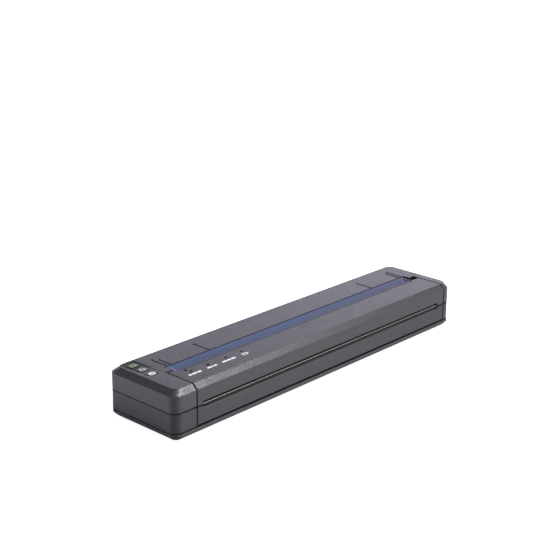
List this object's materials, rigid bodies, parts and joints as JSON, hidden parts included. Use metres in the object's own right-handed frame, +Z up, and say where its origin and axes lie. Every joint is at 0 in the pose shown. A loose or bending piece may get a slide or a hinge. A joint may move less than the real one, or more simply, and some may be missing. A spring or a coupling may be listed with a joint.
{
  "type": "a4 portable thermal printer",
  "caption": "Slim bar-shaped thermal sheet printer with a front-hinged platen cover, blue paper-slot strip, top keys, gear-driven roller and rear battery door.",
  "frame": {"origin": "middle of the footprint, at table level under the rubber feet", "axes": "+X along the length towards the port end, the front with the paper exit faces -Y, +Z up"},
  "size_m": [0.255, 0.0555, 0.03],
  "materials": {
    "case_dark": "fine matte texture",
    "case_grey": "fine matte texture",
    "panel_grey": "fine matte texture",
    "strip_blue": "satin, printed lattice",
    "rubber": "matte",
    "steel": "plain",
    "zinc": "zinc plated",
    "aluminium": "extruded",
    "ceramic": "glazed ceramic",
    "part_black": "moulded",
    "circuit_green": "solder mask",
    "pack_grey": "smooth",
    "gear_white": "smooth acetal",
    "brass": "turned",
    "key_dark": "satin",
    "lamp_clear": "clear moulded"
  },
  "bodies": {
    "base": {"bottom_cover": "case_dark", "lower_case": "case_dark", "upper_case": "case_grey", "rubber_feet": "rubber", "case_screws": "zinc", "side_plate_left": "steel", "side_plate_right": "steel", "spring_rail": "steel", "paper_guide": "part_black", "head_pivot_rod": "steel", "head_springs": "steel", "main_board": "circuit_green", "board_parts": "part_black", "battery_pack": "pack_grey", "battery_contacts": "part_black", "drive_motor": "zinc", "gear_posts": "steel", "key_board": "circuit_green", "key_switches": "part_black", "key_screws": "zinc", "port_board": "circuit_green", "power_inlet": "part_black", "usb_socket": "zinc", "paper_sensor": "part_black"},
    "release": {"release_cover": "case_grey", "neck_strip": "strip_blue", "front_panel": "panel_grey", "tear_bar": "steel", "release_frame": "steel", "platen_bushes": "gear_white", "hinge_pins": "steel", "led_board": "circuit_green", "led_light_guides": "lamp_clear", "module_screws": "zinc"},
    "platen": {"platen_shaft": "steel", "platen_rubber": "rubber", "platen_gear": "gear_white"},
    "idler_a": {"idler_gear_a": "gear_white"},
    "idler_b": {"idler_gear_b": "gear_white"},
    "pinion": {"motor_pinion": "brass"},
    "head": {"heat_sink": "aluminium", "heater_plate": "ceramic", "driver_cover": "part_black"},
    "power_button": {"power_key": "key_dark", "power_plunger": "gear_white"},
    "feed_button": {"feed_key": "key_dark", "feed_plunger": "gear_white"},
    "link_button": {"link_key": "key_dark", "link_plunger": "gear_white"},
    "door": {"battery_door": "case_dark", "door_pins": "steel"}
  },
  "joints": [
    {"name": "release_hinge", "type": "hinge", "parent": "base", "child": "release", "pos_m": [0.0045, -0.0253, 0.0072], "axis": [1, 0, 0], "range_deg": [0, 88]},
    {"name": "platen_spin", "type": "hinge", "parent": "release", "child": "platen", "pos_m": [0.0045, -0.013, 0.0185], "axis": [1, 0, 0], "continuous": true},
    {"name": "idler_a_spin", "type": "hinge", "parent": "base", "child": "idler_a", "pos_m": [-0.1075, -0.00488, 0.00966], "axis": [1, 0, 0], "continuous": true},
    {"name": "idler_b_spin", "type": "hinge", "parent": "base", "child": "idler_b", "pos_m": [-0.1075, 0.00612, 0.00966], "axis": [1, 0, 0], "continuous": true},
    {"name": "pinion_spin", "type": "hinge", "parent": "base", "child": "pinion", "pos_m": [-0.1075, 0.01242, 0.01459], "axis": [1, 0, 0], "continuous": true},
    {"name": "head_tilt", "type": "hinge", "parent": "base", "child": "head", "pos_m": [0.0045, -0.0015, 0.01045], "axis": [1, 0, 0], "range_deg": [0, 3], "stiffness_Nm_per_rad": 0.4, "springref_deg": -2.86, "deforming": ["head_springs"]},
    {"name": "power_key_press", "type": "slide", "parent": "base", "child": "power_button", "axis": [0, 0, -1], "range_m": [0, 0.0005], "stiffness_N_per_m": 500, "springref_m": -0.0005},
    {"name": "feed_key_press", "type": "slide", "parent": "base", "child": "feed_button", "axis": [0, 0, -1], "range_m": [0, 0.0005], "stiffness_N_per_m": 500, "springref_m": -0.0005},
    {"name": "link_key_press", "type": "slide", "parent": "base", "child": "link_button", "axis": [0, 0, -1], "range_m": [0, 0.0005], "stiffness_N_per_m": 500, "springref_m": -0.0005},
    {"name": "door_hinge", "type": "hinge", "parent": "base", "child": "door", "pos_m": [0.00885, 0.0253, 0.0072], "axis": [-1, 0, 0], "range_deg": [0, 88]}
  ],
  "couplings": [
    {"joint": "idler_a_spin", "follows": "platen_spin", "ratio": -1},
    {"joint": "idler_b_spin", "follows": "platen_spin", "ratio": 1.2},
    {"joint": "pinion_spin", "follows": "platen_spin", "ratio": -2}
  ]
}
